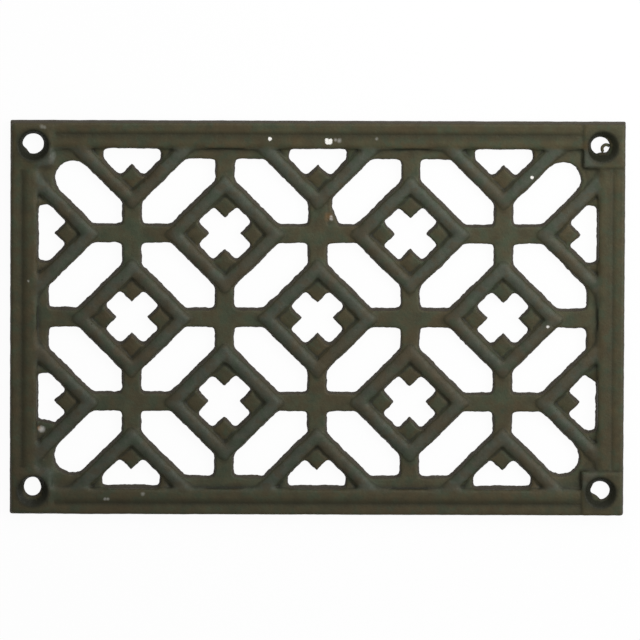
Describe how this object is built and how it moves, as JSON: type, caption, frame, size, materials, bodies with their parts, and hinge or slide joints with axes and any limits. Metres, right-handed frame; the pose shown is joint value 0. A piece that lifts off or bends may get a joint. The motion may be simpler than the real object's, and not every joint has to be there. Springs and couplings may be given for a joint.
{
  "type": "cast iron vent grille",
  "caption": "Rectangular cast iron vent grille: moulded frame with countersunk corner pads around an open lattice of diamond rings and flat bars.",
  "frame": {"origin": "centre of the flat back face, at its lowest point", "axes": "+X along the long side, +Y along the short side, +Z out of the moulded face; the grille lies on its back"},
  "size_m": [0.235, 0.1524, 0.0057],
  "materials": {
    "iron": "dull dark brown-grey, sand cast, lightly oxidised"
  },
  "bodies": {
    "root": {"grille": "iron"}
  },
  "joints": []
}
